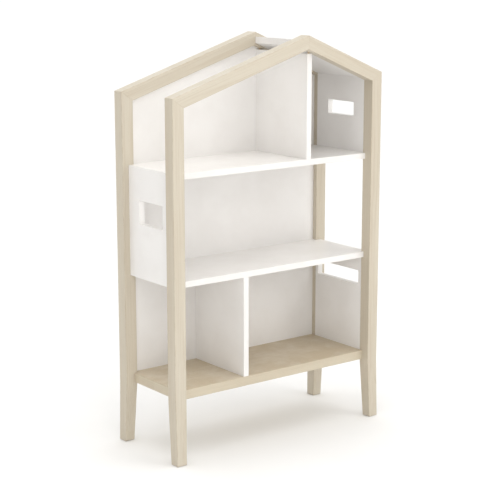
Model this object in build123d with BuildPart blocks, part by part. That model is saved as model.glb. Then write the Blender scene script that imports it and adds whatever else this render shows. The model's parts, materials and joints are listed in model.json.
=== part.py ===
"""House-shaped open bookcase: two timber gable frames carry a folded ribbon of white boards."""
from build123d import *
import os
from math import atan2, cos, sin, tan

os.makedirs("parts", exist_ok=True)

# ---------------------------------------------------------------- driving dimensions (mm)
# Origin: floor level, middle of the frames. X runs to the right, Y to the back, Z up.

# gable frames
frame_width = 810.0  # across the outer faces of the legs
frame_depth = 310.0  # front face of the front frame to back face of the back frame
ridge_height = 1270.0
ridge_x = 103.0  # the ridge stands to the right of the middle
left_eave_height = 1108.0
right_eave_height = 1145.0
leg_width = 40.0
leg_depth = 40.0
rafter_thickness = 40.0
arris_radius = 1.5

# feet: the legs taper below the bottom shelf and kick out to front and back
foot_width = 34.0
foot_depth = 33.5
foot_kick = 7.0
glide_diameter = 18.0
glide_thickness = 4.0
glide_stand = 1.5  # how far a glide stands below the timber

# boards and shelves
board = 19.0
bottom_shelf_thickness = 30.0
bottom_shelf_top = 224.5
middle_shelf_top = 560.0
upper_shelf_top = 885.0
shelf_proud = 12.0  # shelf front edges, ahead of the back faces of the front legs
shelf_lap = 9.5  # bottom shelf runs this far past the legs' inner faces
lower_divider_x = -118.5
upper_divider_x = 127.5
roof_panel_drop = 14.0  # roof panel lies this far below the top faces of the rafters

# windows
window_radius = 2.0
window_depth = 126.0  # front-to-back length of the two framed windows
window_y = -4.0
upper_window_bottom = 998.0
upper_window_height = 46.0
middle_window_bottom = 710.0
middle_window_height = 73.0
slot_bottom = 445.0
slot_height = 47.0
slot_end_wall = 13.0  # board left at each end of the slot window

# back panels
back_setback = 24.0  # back face of the frame to the front face of the panels
back_panel_thickness = 8.0
groove_depth = 5.0
panel_fit = 0.4  # play of a panel in its groove

# joinery
dowel_diameter = 8.0
dowel_length = 30.0
short_dowel_length = 22.0
thin_dowel_diameter = 6.0
dowel_fit = 0.1  # hole diameter over dowel diameter
dowel_end_gap = 1.0
dowel_spacing = 20.0  # between the two dowels of a mitre
divider_dowel_spacing = 140.0
rear_dowel_inset = 10.0  # rear shelf dowels, behind the legs' front faces
spline_thickness = 4.0
spline_width = 11.0
spline_fit = 0.2
joint_inset = 60.0  # board-to-leg fixings, from the ends of a board

# connector screws through the back frame
screw_head_diameter = 11.0
screw_head_height = 3.5
screw_sink = 1.0
screw_shank_diameter = 7.0
screw_thread_diameter = 5.0
screw_thread_length = 33.0
screw_socket = 4.0
screw_clearance = 0.3

# ---------------------------------------------------------------- places worked out from them
half_width = frame_width / 2
half_depth = frame_depth / 2
inner_x = half_width - leg_width  # inner faces of the legs
outer_x = inner_x + board  # outer faces of the side panels
bay_front = -(half_depth - leg_depth)  # back faces of the front legs
bay_back = half_depth - leg_depth  # front faces of the back legs
bay_depth = bay_back - bay_front
shelf_front = bay_front - shelf_proud
panel_front = half_depth - back_setback
panel_back = panel_front + back_panel_thickness
bottom_shelf_under = bottom_shelf_top - bottom_shelf_thickness
middle_shelf_under = middle_shelf_top - board
upper_shelf_under = upper_shelf_top - board
roof_panel_under = roof_panel_drop + board
shelf_end_x = inner_x + shelf_lap
left_pitch = atan2(ridge_height - left_eave_height, half_width + ridge_x)
right_pitch = atan2(ridge_height - right_eave_height, half_width - ridge_x)


def left_roof(x, depth=0.0):
    """Height of the left roof line at x, `depth` square below the rafter's top face."""
    return left_eave_height + (half_width + x) * tan(left_pitch) - depth / cos(left_pitch)


def right_roof(x, depth=0.0):
    """Height of the right roof line at x, `depth` square below the rafter's top face."""
    return right_eave_height + (half_width - x) * tan(right_pitch) - depth / cos(right_pitch)


def ridge_point(depth=0.0):
    """Point (x, z) where the two roof lines of one depth meet."""
    gap = right_roof(0, depth) - left_roof(0, depth)
    x = gap / (tan(left_pitch) + tan(right_pitch))
    return x, left_roof(x, depth)


def eave_points(side):
    """Outer and inner corner (x, z) of the mitre between a leg and its rafter."""
    roof = left_roof if side < 0 else right_roof
    outer = (side * half_width, roof(side * half_width))
    inner = (side * inner_x, roof(side * inner_x, rafter_thickness))
    return outer, inner


def mitre_plane(first, second):
    """Plane along Y through two points (x, z); its normal points to the right of first to second."""
    run = Vector(second[0] - first[0], 0, second[1] - first[1]).normalized()
    middle = ((first[0] + second[0]) / 2, 0, (first[1] + second[1]) / 2)
    return Plane(origin=middle, x_dir=(0, 1, 0), z_dir=Vector(run.Z, 0, -run.X))


eave_planes = {-1: mitre_plane(*reversed(eave_points(-1))), 1: mitre_plane(*reversed(eave_points(1)))}
apex_plane = mitre_plane(ridge_point(rafter_thickness), ridge_point())
written = []


def save(shape, name):
    """Label a finished piece and write its STEP file."""
    shape.label = name
    export_step(shape, f"parts/{name}.step")
    written.append(name)


def drill(points, direction, diameter, depth):
    """Round holes from the points along the direction, cut from the part being built."""
    planes = [Plane(origin=point, z_dir=-Vector(direction)) for point in points]
    with Locations(*[plane.location for plane in planes]):
        Hole(diameter / 2, depth)


def dowel_holes(points, direction, diameter=dowel_diameter, length=dowel_length):
    """Blind holes for half of each dowel that crosses a joint at one of the points."""
    drill(points, direction, diameter + dowel_fit, length / 2 + dowel_end_gap)


def dowel_group(joints, diameter=dowel_diameter, length=dowel_length):
    """Loose dowels, each centred on its joint; joints holds (points, direction) pairs."""
    chamfer_length = diameter / 8
    with BuildPart() as dowels:
        for points, direction in joints:
            planes = [Plane(origin=point, z_dir=direction) for point in points]
            with Locations(*[plane.location for plane in planes]):
                Cylinder(diameter / 2, length)
        chamfer(dowels.edges().filter_by(GeomType.CIRCLE), chamfer_length)
    return dowels.part


def board_profile(points, front=bay_front, back=bay_back):
    """Extrude an outline of (x, z) points from back to front inside the part being built."""
    with BuildSketch(Plane.XZ.offset(-back)) as outline:
        with BuildLine():
            Polyline(*points, close=True)
        make_face()
    extrude(outline.sketch, amount=back - front)


def back_outline(bottom, margin):
    """Outline of the space between the legs and rafters, let into them by the margin."""
    x = inner_x + margin
    depth = rafter_thickness - margin
    return [(-x, bottom), (x, bottom), (x, right_roof(x, depth)), ridge_point(depth), (-x, left_roof(-x, depth))]


# ---------------------------------------------------------------- joint layout
frame_y = {"front": (-half_depth + bay_front) / 2, "back": (half_depth + bay_back) / 2}


def mitre_dowel_points(plane, end):
    """The two dowel centres on a frame mitre."""
    x, z = plane.origin.X, plane.origin.Z
    return [(x, frame_y[end] + offset * dowel_spacing / 2, z) for offset in (-1, 1)]


def board_fixings(low, high):
    """Two (x, z) points on a board's middle line, set in from its ends."""
    run = Vector(high[0] - low[0], 0, high[1] - low[1])
    step = run.normalized() * joint_inset
    return [(low[0] + step.X, low[1] + step.Z), (high[0] - step.X, high[1] - step.Z)]


side_line = inner_x + board / 2
roof_line = roof_panel_drop + board / 2
slot_header_z = (slot_bottom + slot_height + middle_shelf_under) / 2  # middle of the strip above the slot
fixings = {
    "lower_right_side_panel": [(side_line, bottom_shelf_top + joint_inset), (side_line, slot_header_z)],
    "middle_left_side_panel": board_fixings((-side_line, middle_shelf_top), (-side_line, upper_shelf_under)),
    "upper_right_side_panel": board_fixings(
        (side_line, upper_shelf_top), (side_line, right_roof(inner_x, roof_panel_under))
    ),
    "roof_panel": board_fixings((ridge_x, right_roof(ridge_x, roof_line)), (inner_x, right_roof(inner_x, roof_line))),
}


def fixing_points(name, y):
    """Fixing points of one board at depth y."""
    return [(x, y, z) for x, z in fixings[name]]


shelf_levels = {
    "bottom_shelf": (bottom_shelf_top - bottom_shelf_thickness / 2, shelf_end_x),
    "middle_shelf": (middle_shelf_top - board / 2, inner_x),
    "upper_shelf": (upper_shelf_top - board / 2, inner_x),
}
rear_dowel_y = bay_back + rear_dowel_inset
front_dowel_y = (shelf_front + bay_front) / 2


def shelf_dowel_points(name, side, y):
    """The dowel centre at one end of a shelf, as a one-point list."""
    z, end_x = shelf_levels[name]
    return [(side * end_x, y, z)]


def divider_points(x, z):
    """The two dowel centres under or over a divider."""
    return [(x, offset * divider_dowel_spacing / 2, z) for offset in (-1, 1)]


lower_divider_joints = [divider_points(lower_divider_x, z) for z in (bottom_shelf_top, middle_shelf_under)]
upper_divider_joint = divider_points(upper_divider_x, upper_shelf_top)
# the upper divider is cut square across the top; its right-hand corner touches the rafters' undersides
upper_divider_top = right_roof(upper_divider_x + board / 2, rafter_thickness)
head_dowel_y = {"front": front_dowel_y, "back": (bay_back + panel_front) / 2}


def head_dowel_points(end):
    """The dowel centre between the upper divider and one right-hand rafter, as a one-point list."""
    return [(upper_divider_x, head_dowel_y[end], upper_divider_top)]


up = (0, 0, 1)
down = (0, 0, -1)

# each mitre of the white ribbon: outer corner, inner corner (x, z)
ribbon_mitres = {
    "upper_left": ((-outer_x, upper_shelf_top), (-inner_x, upper_shelf_under)),
    "middle_left": ((-outer_x, middle_shelf_under), (-inner_x, middle_shelf_top)),
    "middle_right": ((outer_x, middle_shelf_top), (inner_x, middle_shelf_under)),
    "upper_right": ((outer_x, upper_shelf_under), (inner_x, upper_shelf_top)),
    "roof_right": (
        (outer_x, right_roof(outer_x, roof_panel_drop)),
        (inner_x, right_roof(inner_x, roof_panel_under)),
    ),
}


def spline_bar(corner, width, thickness):
    """One bar across a ribbon mitre, added to or cut from the part being built."""
    plane = mitre_plane(*ribbon_mitres[corner])
    return plane.location * Box(bay_depth, thickness, width, mode=Mode.PRIVATE)


def cut_spline_grooves(*corners):
    """Grooves for the splines at the named mitres."""
    for corner in corners:
        add(spline_bar(corner, spline_width + 2 * spline_fit, spline_thickness), mode=Mode.SUBTRACT)


# ---------------------------------------------------------------- legs
def make_leg(side, end):
    """Upright with a tapered, kicked-out foot; side is -1 left or 1 right, end is front or back."""
    to_outside = -1 if end == "front" else 1
    knee = Plane.XY.offset(bottom_shelf_under)
    section_centre = (side * (half_width - leg_width / 2), frame_y[end])
    foot_y = half_depth + foot_kick - foot_depth / 2
    foot_centre = (side * (half_width - foot_width / 2), to_outside * foot_y)
    with BuildPart() as leg:
        with BuildSketch(Plane.XY.offset(glide_stand)):
            with Locations(foot_centre):
                RectangleRounded(foot_width, foot_depth, arris_radius)
        with BuildSketch(knee):
            with Locations(section_centre):
                RectangleRounded(leg_width, leg_depth, arris_radius)
        loft(ruled=True)
        with BuildSketch(knee):
            with Locations(section_centre):
                RectangleRounded(leg_width, leg_depth, arris_radius)
        extrude(amount=ridge_height - bottom_shelf_under)
        split(bisect_by=eave_planes[side], keep=Keep.BOTTOM if side < 0 else Keep.TOP)
        # housing for the corner of the bottom shelf
        with BuildSketch(knee):
            with Locations((0, (shelf_front + panel_back) / 2)):
                Rectangle(2 * shelf_end_x, panel_back - shelf_front)
        extrude(amount=bottom_shelf_thickness, mode=Mode.SUBTRACT)
        # seat of the glide
        seat = (foot_centre[0], foot_centre[1], glide_stand)
        drill([seat], up, glide_diameter, glide_thickness - glide_stand)
        # mitre dowels, shelf dowels and board fixings
        eave = eave_planes[side]
        into_leg = -eave.z_dir if side < 0 else eave.z_dir
        dowel_holes(mitre_dowel_points(eave, end), into_leg)
        for name in shelf_levels:
            y, size = (front_dowel_y, thin_dowel_diameter) if end == "front" else (rear_dowel_y, dowel_diameter)
            dowel_holes(shelf_dowel_points(name, side, y), (side, 0, 0), size)
        for name in fixings:
            if name == "roof_panel" or (side < 0) != ("left" in name):
                continue
            fix_board(name, end)
        if end == "back":
            cut_back_groove()
    return leg.part


def fix_board(name, end):
    """Cut a frame member for a board's fixings: dowel holes in front, screw holes at the back."""
    if end == "front":
        dowel_holes(fixing_points(name, bay_front), (0, -1, 0))
        return
    drill(fixing_points(name, half_depth), (0, -1, 0), screw_shank_diameter + screw_clearance, leg_depth)
    head_depth = screw_sink + screw_head_height
    drill(fixing_points(name, half_depth), (0, -1, 0), screw_head_diameter + screw_clearance, head_depth)


def cut_back_groove():
    """Groove for the back panels, cut from a member of the back frame."""
    with BuildSketch(Plane.XZ.offset(-(panel_back + panel_fit))) as groove:
        with BuildLine():
            Polyline(*back_outline(bottom_shelf_top, groove_depth), close=True)
        make_face()
    extrude(groove.sketch, amount=back_panel_thickness + panel_fit, mode=Mode.SUBTRACT)


for end in ("front", "back"):
    save(make_leg(-1, end), f"{end}_left_leg")
    save(make_leg(1, end), f"{end}_right_leg")


# ---------------------------------------------------------------- rafters
def make_rafter(side, end):
    """Sloping top member of a frame, mitred to its leg and to the other rafter."""
    pitch = left_pitch if side < 0 else right_pitch
    roof = left_roof if side < 0 else right_roof
    middle_x = (side * half_width + ridge_x) / 2
    slope = Vector(cos(pitch), 0, -side * sin(pitch))
    square_down = Vector(-slope.Z, 0, slope.X) * -1
    middle = Vector(middle_x, frame_y[end], roof(middle_x)) + square_down * (rafter_thickness / 2)
    section = Plane(origin=middle, x_dir=(0, 1, 0), z_dir=slope)
    with BuildPart() as rafter:
        with BuildSketch(section):
            RectangleRounded(leg_depth, rafter_thickness, arris_radius)
        extrude(amount=frame_width, both=True)
        split(bisect_by=eave_planes[side], keep=Keep.TOP if side < 0 else Keep.BOTTOM)
        split(bisect_by=apex_plane, keep=Keep.BOTTOM if side < 0 else Keep.TOP)
        eave = eave_planes[side]
        from_leg = eave.z_dir if side < 0 else -eave.z_dir
        dowel_holes(mitre_dowel_points(eave, end), from_leg)
        dowel_holes(mitre_dowel_points(apex_plane, end), apex_plane.z_dir * side)
        if side > 0:
            fix_board("roof_panel", end)
            dowel_holes(head_dowel_points(end), up, thin_dowel_diameter)
        if end == "back":
            cut_back_groove()
    return rafter.part


for end in ("front", "back"):
    save(make_rafter(-1, end), f"{end}_left_rafter")
    save(make_rafter(1, end), f"{end}_right_rafter")


# ---------------------------------------------------------------- shelves
def drill_shelf(name):
    """Dowel holes at the four corners of a shelf."""
    for side in (-1, 1):
        dowel_holes(shelf_dowel_points(name, side, rear_dowel_y), (-side, 0, 0))
        dowel_holes(shelf_dowel_points(name, side, front_dowel_y), (-side, 0, 0), thin_dowel_diameter)


with BuildPart() as bottom_shelf:
    shelf_corners = [(x, z) for x, z in ((-shelf_end_x, bottom_shelf_top), (shelf_end_x, bottom_shelf_top),
                                         (shelf_end_x, bottom_shelf_under), (-shelf_end_x, bottom_shelf_under))]
    board_profile(shelf_corners, shelf_front, panel_back)
    drill_shelf("bottom_shelf")
    dowel_holes(lower_divider_joints[0], down, length=short_dowel_length)
save(bottom_shelf.part, "bottom_shelf")


def ribbon_shelf(name, top, top_ends, under_ends):
    """White shelf: mitred where it turns between the frames, plain strips between the legs."""
    under = top - board
    board_profile([(top_ends[0], top), (top_ends[1], top), (under_ends[1], under), (under_ends[0], under)])
    strip = [(-inner_x, top), (inner_x, top), (inner_x, under), (-inner_x, under)]
    board_profile(strip, shelf_front, panel_back)
    drill_shelf(name)


with BuildPart() as middle_shelf:
    ribbon_shelf("middle_shelf", middle_shelf_top, (-inner_x, outer_x), (-outer_x, inner_x))
    cut_spline_grooves("middle_left", "middle_right")
    dowel_holes(lower_divider_joints[1], up, length=short_dowel_length)
save(middle_shelf.part, "middle_shelf")

with BuildPart() as upper_shelf:
    ribbon_shelf("upper_shelf", upper_shelf_top, (-outer_x, inner_x), (-inner_x, outer_x))
    cut_spline_grooves("upper_left", "upper_right")
    dowel_holes(upper_divider_joint, down, length=short_dowel_length)
save(upper_shelf.part, "upper_shelf")


# ---------------------------------------------------------------- side panels and roof panel
def cut_window(side, centre_y, depth, bottom, height):
    """Rectangular window through a side panel."""
    with BuildSketch(Plane.YZ.offset(side * side_line)) as window:
        with Locations((centre_y, bottom + height / 2)):
            RectangleRounded(depth, height, window_radius)
    extrude(window.sketch, amount=board, both=True, mode=Mode.SUBTRACT)


def fix_to_frames(name):
    """Dowel holes in a board's front edge and pilot holes in its back edge."""
    dowel_holes(fixing_points(name, bay_front), (0, 1, 0))
    pilot_depth = screw_thread_length + dowel_end_gap
    drill(fixing_points(name, bay_back), (0, -1, 0), screw_thread_diameter + dowel_fit, pilot_depth)


with BuildPart() as lower_right_side_panel:
    lip_x = inner_x + shelf_lap
    board_profile([(inner_x, middle_shelf_under), (outer_x, middle_shelf_top), (outer_x, bottom_shelf_under),
                   (lip_x, bottom_shelf_under), (lip_x, bottom_shelf_top), (inner_x, bottom_shelf_top)])
    cut_window(1, (bay_front + bay_back) / 2, bay_depth - 2 * slot_end_wall, slot_bottom, slot_height)
    cut_spline_grooves("middle_right")
    fix_to_frames("lower_right_side_panel")
save(lower_right_side_panel.part, "lower_right_side_panel")

with BuildPart() as middle_left_side_panel:
    board_profile([(-outer_x, upper_shelf_top), (-inner_x, upper_shelf_under),
                   (-inner_x, middle_shelf_top), (-outer_x, middle_shelf_under)])
    cut_window(-1, window_y, window_depth, middle_window_bottom, middle_window_height)
    cut_spline_grooves("upper_left", "middle_left")
    fix_to_frames("middle_left_side_panel")
save(middle_left_side_panel.part, "middle_left_side_panel")

with BuildPart() as upper_right_side_panel:
    roof_outer, roof_inner = ribbon_mitres["roof_right"]
    board_profile([(inner_x, upper_shelf_top), (outer_x, upper_shelf_under), roof_outer, roof_inner])
    cut_window(1, window_y, window_depth, upper_window_bottom, upper_window_height)
    cut_spline_grooves("upper_right", "roof_right")
    fix_to_frames("upper_right_side_panel")
save(upper_right_side_panel.part, "upper_right_side_panel")

with BuildPart() as roof_panel:
    ridge_edge = [(ridge_x, right_roof(ridge_x, roof_panel_under)), (ridge_x, right_roof(ridge_x, roof_panel_drop))]
    board_profile([*ridge_edge, *ribbon_mitres["roof_right"]])
    cut_spline_grooves("roof_right")
    fix_to_frames("roof_panel")
save(roof_panel.part, "roof_panel")

# ---------------------------------------------------------------- dividers
with BuildPart() as lower_divider:
    left, right = lower_divider_x - board / 2, lower_divider_x + board / 2
    board_profile([(left, bottom_shelf_top), (right, bottom_shelf_top),
                   (right, middle_shelf_under), (left, middle_shelf_under)], shelf_front, panel_front)
    dowel_holes(lower_divider_joints[0], up, length=short_dowel_length)
    dowel_holes(lower_divider_joints[1], down, length=short_dowel_length)
save(lower_divider.part, "lower_divider")

with BuildPart() as upper_divider:
    left, right = upper_divider_x - board / 2, upper_divider_x + board / 2
    board_profile([(left, upper_shelf_top), (right, upper_shelf_top),
                   (right, upper_divider_top), (left, upper_divider_top)], shelf_front, panel_front)
    dowel_holes(upper_divider_joint, up, length=short_dowel_length)
    for end in frame_y:
        dowel_holes(head_dowel_points(end), down, thin_dowel_diameter)
save(upper_divider.part, "upper_divider")

# ---------------------------------------------------------------- back panels
panel_x = inner_x + groove_depth - panel_fit
for name, low, high in (("lower_back_panel", bottom_shelf_top, middle_shelf_under),
                        ("middle_back_panel", middle_shelf_top, upper_shelf_under)):
    with BuildPart() as back_panel:
        top = high - panel_fit
        board_profile([(-panel_x, low), (panel_x, low), (panel_x, top), (-panel_x, top)], panel_front, panel_back)
    save(back_panel.part, name)

with BuildPart() as upper_back_panel:
    board_profile(back_outline(upper_shelf_top, groove_depth - panel_fit), panel_front, panel_back)
save(upper_back_panel.part, "upper_back_panel")

# ---------------------------------------------------------------- dowels and splines
eave_joints = [(mitre_dowel_points(eave_planes[side], end), eave_planes[side].z_dir)
               for side in (-1, 1) for end in frame_y]
save(dowel_group(eave_joints), "eave_dowels")

apex_joints = [(mitre_dowel_points(apex_plane, end), apex_plane.z_dir) for end in frame_y]
save(dowel_group(apex_joints), "apex_dowels")

rear_joints = [(shelf_dowel_points(name, side, rear_dowel_y), (1, 0, 0))
               for name in shelf_levels for side in (-1, 1)]
save(dowel_group(rear_joints), "rear_shelf_dowels")

front_joints = [(shelf_dowel_points(name, side, front_dowel_y), (1, 0, 0))
                for name in shelf_levels for side in (-1, 1)]
save(dowel_group(front_joints, thin_dowel_diameter), "front_shelf_dowels")

side_joints = [(fixing_points(name, bay_front), (0, 1, 0)) for name in fixings]
save(dowel_group(side_joints), "side_panel_dowels")

divider_joints = [(points, up) for points in [*lower_divider_joints, upper_divider_joint]]
save(dowel_group(divider_joints, length=short_dowel_length), "divider_dowels")

head_joints = [(head_dowel_points(end), up) for end in frame_y]
save(dowel_group(head_joints, thin_dowel_diameter), "divider_head_dowels")

with BuildPart() as mitre_splines:
    for corner in ribbon_mitres:
        add(spline_bar(corner, spline_width, spline_thickness))
save(mitre_splines.part, "mitre_splines")

# ---------------------------------------------------------------- screws and glides
with BuildPart() as connector_screw:
    head_radius = screw_head_diameter / 2
    shank_radius = screw_shank_diameter / 2
    thread_radius = screw_thread_diameter / 2
    shank_end = -leg_depth
    with BuildSketch(Plane.XZ):
        with BuildLine():
            Polyline((0, -screw_sink), (head_radius, -screw_sink), (head_radius, -screw_sink - screw_head_height),
                     (shank_radius, -screw_sink - screw_head_height), (shank_radius, shank_end),
                     (thread_radius, shank_end), (thread_radius, shank_end - screw_thread_length + thread_radius),
                     (0, shank_end - screw_thread_length), close=True)
        make_face()
    revolve(axis=Axis.Z)
    with BuildSketch(Plane.XY.offset(-screw_sink)):
        RegularPolygon(screw_socket / 2, 6, major_radius=False)
    extrude(amount=-screw_head_height, mode=Mode.SUBTRACT)

with BuildPart() as connector_screws:
    heads = [point for name in fixings for point in fixing_points(name, half_depth)]
    with Locations(*[Plane(origin=point, z_dir=(0, 1, 0)).location for point in heads]):
        add(connector_screw.part)
save(connector_screws.part, "connector_screws")

with BuildPart() as foot_glides:
    glide_x = half_width - foot_width / 2
    glide_y = half_depth + foot_kick - foot_depth / 2
    with GridLocations(2 * glide_x, 2 * glide_y, 2, 2):
        Cylinder(glide_diameter / 2, glide_thickness, align=(Align.CENTER, Align.CENTER, Align.MIN))
    chamfer(foot_glides.edges().group_by(Axis.Z)[0], glide_stand / 2)
save(foot_glides.part, "foot_glides")

print(len(written), "nodes written")
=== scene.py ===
"""Looks of a house-shaped bookcase: whitewashed birch frames that carry a folded ribbon of white boards."""
import json
from math import atan, hypot, pi, radians

import bmesh
import bpy
from bpy.props import FloatProperty, FloatVectorProperty, PointerProperty
from bpy.types import Operator, Panel, PropertyGroup
from mathutils import Euler, Matrix, Vector


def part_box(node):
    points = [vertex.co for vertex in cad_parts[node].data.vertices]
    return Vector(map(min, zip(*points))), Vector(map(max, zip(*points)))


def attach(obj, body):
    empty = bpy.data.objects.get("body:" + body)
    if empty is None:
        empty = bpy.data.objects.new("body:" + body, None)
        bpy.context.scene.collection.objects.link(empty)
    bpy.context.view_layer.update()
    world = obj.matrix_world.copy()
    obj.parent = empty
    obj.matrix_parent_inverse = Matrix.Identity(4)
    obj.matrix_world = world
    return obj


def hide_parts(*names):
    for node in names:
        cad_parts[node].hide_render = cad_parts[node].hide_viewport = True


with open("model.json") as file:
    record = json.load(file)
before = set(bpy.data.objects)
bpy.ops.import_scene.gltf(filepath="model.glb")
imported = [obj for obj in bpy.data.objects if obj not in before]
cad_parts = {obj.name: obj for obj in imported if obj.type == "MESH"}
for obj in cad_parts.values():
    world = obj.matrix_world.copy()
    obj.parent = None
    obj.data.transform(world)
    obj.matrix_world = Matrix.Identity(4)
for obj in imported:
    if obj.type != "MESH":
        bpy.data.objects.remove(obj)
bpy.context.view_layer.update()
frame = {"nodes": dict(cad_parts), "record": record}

bl_info = {
    "name": "House Bookcase",
    "version": (1, 0, 0),
    "blender": (4, 5, 0),
    "location": "3D View > Sidebar > Bookcase",
    "description": "Builds the visible pieces of a house-shaped bookcase around its packed model",
    "category": "Object",
}

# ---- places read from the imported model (metres)
SIDES = {"left": -1, "right": 1}
ENDS = {"front": -1, "back": 1}
panel_low, panel_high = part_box("upper_right_side_panel")
shelf_low, shelf_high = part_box("bottom_shelf")
half_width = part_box("front_right_leg")[1].x
inner_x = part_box("front_right_leg")[0].x  # inner faces of the legs
outer_x = panel_high.x  # outer faces of the side panels
bay_front, bay_back = panel_low.y, panel_high.y
frame_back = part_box("back_left_rafter")[1].y
knee = shelf_low.z  # the legs taper below the bottom shelf
ridge_x, ridge_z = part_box("front_left_rafter")[1].x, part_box("front_left_rafter")[1].z
eave_z = {side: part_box(f"front_{side}_leg")[1].z for side in SIDES}
OPENING_MARGIN = 0.001  # the record's openings stop this far short of the boards around them
TOUCH = 1e-6  # points closer than this are at the same place


def roof_slope(side):
    """Rise over run of one rafter, signed along X."""
    return (ridge_z - eave_z[side]) / (ridge_x - SIDES[side] * half_width)


def roof_line(side, x, depth=0.0):
    """Height at x of the line that lies `depth` square below the top of one rafter."""
    slope = roof_slope(side)
    return eave_z[side] + slope * (x - SIDES[side] * half_width) - depth * hypot(1, slope)


def depth_below(side, x, z):
    """How far the point (x, z) lies square below the top of one rafter."""
    return (roof_line(side, x) - z) / hypot(1, roof_slope(side))


rafter_thickness = depth_below("left", -inner_x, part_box("front_left_rafter")[0].z)
roof_top_depth = depth_below("right", outer_x, panel_high.z)
roof_under_depth = depth_below("right", inner_x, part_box("roof_panel")[0].z)


def ridge_point(depth):
    """Point (x, z) where the two roof lines of one depth meet."""
    rise_left, rise_right = roof_slope("left"), roof_slope("right")
    x = (roof_line("right", 0, depth) - roof_line("left", 0, depth)) / (rise_left - rise_right)
    return x, roof_line("left", x, depth)


def opening(name):
    """Lowest and highest corner of a window, as wide as the board's own hole."""
    found = [entry for entry in frame["record"]["physics"]["openings"] if entry["name"] == name]
    low, high = (Vector(corner) for corner in found[0]["box_m"])
    margin = Vector((0, OPENING_MARGIN, OPENING_MARGIN))
    return low - margin, high + margin


# ---- settings
class TimberSettings(PropertyGroup):
    """Frames and bottom shelf of whitewashed birch."""

    wash: FloatVectorProperty(
        name="Wash", description="Colour of the wood where the whitewash lies thickest",
        subtype="COLOR", min=0, max=1, default=(0.628, 0.572, 0.472))
    # Top of the bottom shelf: darker and browner than its edges, as painted shade from the shelves above.
    shaded_shelf_top: FloatVectorProperty(
        name="Shelf wash", description="Colour of the thinner whitewash on top of the bottom shelf",
        subtype="COLOR", min=0, max=1, default=(0.535, 0.445, 0.315))
    shelf_edge_wash: FloatVectorProperty(
        name="Shelf edge wash", description="Colour of the whitewash on the edges of the bottom shelf",
        subtype="COLOR", min=0, max=1, default=(0.618, 0.548, 0.425))
    grain: FloatVectorProperty(
        name="Grain", description="Colour of the late wood that shows through the wash",
        subtype="COLOR", min=0, max=1, default=(0.470, 0.384, 0.272))
    worn: FloatVectorProperty(
        name="Worn edge", description="Colour where hands have rubbed the wash off an edge",
        subtype="COLOR", min=0, max=1, default=(0.48, 0.40, 0.29))
    arris: FloatProperty(
        name="Arris", description="Radius along the edges of legs and rafters",
        unit="LENGTH", default=0.0015)
    shelf_edge: FloatProperty(
        name="Shelf edge", description="Radius along the edges of the bottom shelf",
        unit="LENGTH", default=0.0012)
    hairline: FloatProperty(
        name="Hairline", description="Easing on each side of a mitre joint",
        unit="LENGTH", default=0.0003)
    ring_spacing: FloatProperty(
        name="Ring spacing", description="Distance between growth rings",
        unit="LENGTH", default=0.0042)
    stave_width: FloatProperty(
        name="Stave width", description="Width of the staves glued into the bottom shelf",
        unit="LENGTH", default=0.0665)


class LacquerSettings(PropertyGroup):
    """White lacquered boards."""

    paint: FloatVectorProperty(
        name="Paint", description="Colour of the white lacquer",
        subtype="COLOR", min=0, max=1, default=(0.872, 0.855, 0.838))
    shade: FloatVectorProperty(
        name="Shade", description="Colour of the faint clouds in the lacquer",
        subtype="COLOR", min=0, max=1, default=(0.836, 0.816, 0.796))
    worn: FloatVectorProperty(
        name="Worn edge", description="Colour where the lacquer is thin along an edge",
        subtype="COLOR", min=0, max=1, default=(0.78, 0.76, 0.72))
    edge: FloatProperty(
        name="Edge", description="Radius along the edges of the boards",
        unit="LENGTH", default=0.0008)
    window_corner: FloatProperty(
        name="Window corner", description="Radius in the corners of the windows",
        unit="LENGTH", default=0.002)


class HardwareSettings(PropertyGroup):
    """Connector screws and foot glides."""

    screw_edge: FloatProperty(
        name="Screw edge", description="Rounding of the rims of the screw heads",
        unit="LENGTH", default=0.0004)
    screw_hole: FloatProperty(
        name="Screw hole", description="Diameter of the holes that the screw heads sit in",
        unit="LENGTH", default=0.0113)
    screw_seat: FloatProperty(
        name="Screw seat", description="Depth of those holes",
        unit="LENGTH", default=0.0045)
    glide_diameter: FloatProperty(
        name="Glide diameter", description="Diameter of the nylon glides",
        unit="LENGTH", default=0.018)
    glide_edge: FloatProperty(
        name="Glide edge", description="Rounding of a glide's lower rim",
        unit="LENGTH", default=0.0009)


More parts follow.
